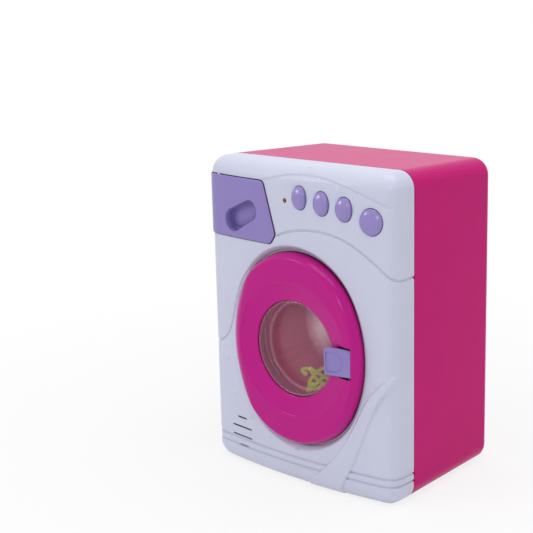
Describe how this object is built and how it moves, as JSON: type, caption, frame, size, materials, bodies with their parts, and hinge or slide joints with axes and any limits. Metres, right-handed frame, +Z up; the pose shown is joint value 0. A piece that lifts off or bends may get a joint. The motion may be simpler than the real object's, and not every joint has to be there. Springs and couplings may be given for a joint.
{
  "type": "toy washing machine",
  "caption": "Toy front-loading washing machine with a hinged round door, a turning drum, a pull-out detergent drawer and press buttons.",
  "frame": {"origin": "centre of the flat bottom, on the surface that the toy stands on", "axes": "+Z up, -Y out of the front with the door, +X to the right as seen from the front"},
  "size_m": [0.184, 0.1464, 0.25],
  "materials": {
    "shell_white": "smooth moulded",
    "cabinet_pink": "glossy moulded",
    "ring_pink": "glossy moulded",
    "lilac": "smooth moulded",
    "clear": "clear moulded",
    "drum_pink": "smooth moulded",
    "hanger_green": "smooth moulded",
    "inner_white": "moulded",
    "gear_white": "moulded",
    "steel": "bright",
    "brass": "turned",
    "board_green": "solder mask",
    "black": "moulded",
    "cone": "pressed paper",
    "led_red": "tinted",
    "cell": "plain wrapped"
  },
  "bodies": {
    "housing": {"front_panel": "shell_white", "cabinet": "cabinet_pink", "case_screws": "steel", "hinge_pin": "steel", "drawer_guide": "inner_white", "circuit_board": "board_green", "board_screws": "steel", "tact_switches": "black", "status_light": "led_red", "speaker": "black", "speaker_cone": "cone", "gearbox_base": "inner_white", "gearbox_cover": "inner_white", "gearbox_screws": "steel", "drum_bush": "brass", "idler_axle": "steel", "motor": "steel", "motor_screws": "steel", "battery_box": "ring_pink", "battery_contacts": "steel", "battery_cells": "cell", "button_spring_1": "steel", "button_spring_2": "steel", "button_spring_3": "steel", "start_spring": "steel"},
    "door": {"door_ring": "ring_pink", "door_window": "clear", "window_retainer": "ring_pink", "retainer_screws": "steel", "latch_pin": "steel", "latch_spring": "steel"},
    "latch": {"door_latch": "lilac"},
    "drum": {"drum": "drum_pink", "drum_shaft": "steel", "drum_gear": "gear_white", "drum_screw": "steel", "hanger_a": "hanger_green", "hanger_b": "hanger_green"},
    "idler": {"idler_gear": "gear_white"},
    "rotor": {"motor_shaft": "steel", "motor_pinion": "brass"},
    "drawer": {"detergent_drawer": "lilac"},
    "button_1": {"button_1": "lilac"},
    "button_2": {"button_2": "lilac"},
    "button_3": {"button_3": "lilac"},
    "start_button": {"start_button": "lilac"},
    "battery_cover": {"battery_cover": "cabinet_pink", "cover_screw": "steel"}
  },
  "joints": [
    {"name": "door_hinge", "type": "hinge", "parent": "housing", "child": "door", "pos_m": [-0.054, -0.0628, 0.112], "axis": [0, 0, -1], "range_deg": [0, 100]},
    {"name": "latch_pivot", "type": "hinge", "parent": "door", "child": "latch", "pos_m": [0.0567, -0.065, 0.1095], "axis": [0, 0, -1], "range_deg": [0, 8], "stiffness_Nm_per_rad": 0.05, "springref_deg": -11.46, "deforming": ["latch_spring"]},
    {"name": "drum_spin", "type": "hinge", "parent": "housing", "child": "drum", "pos_m": [0.004, 0, 0.112], "axis": [0, 1, 0], "continuous": true},
    {"name": "idler_spin", "type": "hinge", "parent": "housing", "child": "idler", "pos_m": [0.0144, 0, 0.13001], "axis": [0, 1, 0], "continuous": true},
    {"name": "motor_spin", "type": "hinge", "parent": "housing", "child": "rotor", "pos_m": [-0.00223, 0, 0.13961], "axis": [0, 1, 0], "continuous": true},
    {"name": "drawer_slide", "type": "slide", "parent": "housing", "child": "drawer", "axis": [0, -1, 0], "range_m": [0, 0.042]},
    {"name": "button_1_press", "type": "slide", "parent": "housing", "child": "button_1", "axis": [0, 1, 0], "range_m": [0, 0.0015], "stiffness_N_per_m": 300, "springref_m": -0.0012, "deforming": ["button_spring_1"]},
    {"name": "button_2_press", "type": "slide", "parent": "housing", "child": "button_2", "axis": [0, 1, 0], "range_m": [0, 0.0015], "stiffness_N_per_m": 300, "springref_m": -0.0012, "deforming": ["button_spring_2"]},
    {"name": "button_3_press", "type": "slide", "parent": "housing", "child": "button_3", "axis": [0, 1, 0], "range_m": [0, 0.0015], "stiffness_N_per_m": 300, "springref_m": -0.0012, "deforming": ["button_spring_3"]},
    {"name": "start_button_press", "type": "slide", "parent": "housing", "child": "start_button", "axis": [0, 1, 0], "range_m": [0, 0.0015], "stiffness_N_per_m": 300, "springref_m": -0.0012, "deforming": ["start_spring"]},
    {"name": "battery_cover_slide", "type": "slide", "parent": "housing", "child": "battery_cover", "axis": [0, 1, 0], "range_m": [0, 0.025]}
  ],
  "couplings": [
    {"joint": "idler_spin", "follows": "drum_spin", "ratio": -3.3333},
    {"joint": "motor_spin", "follows": "drum_spin", "ratio": 10}
  ]
}
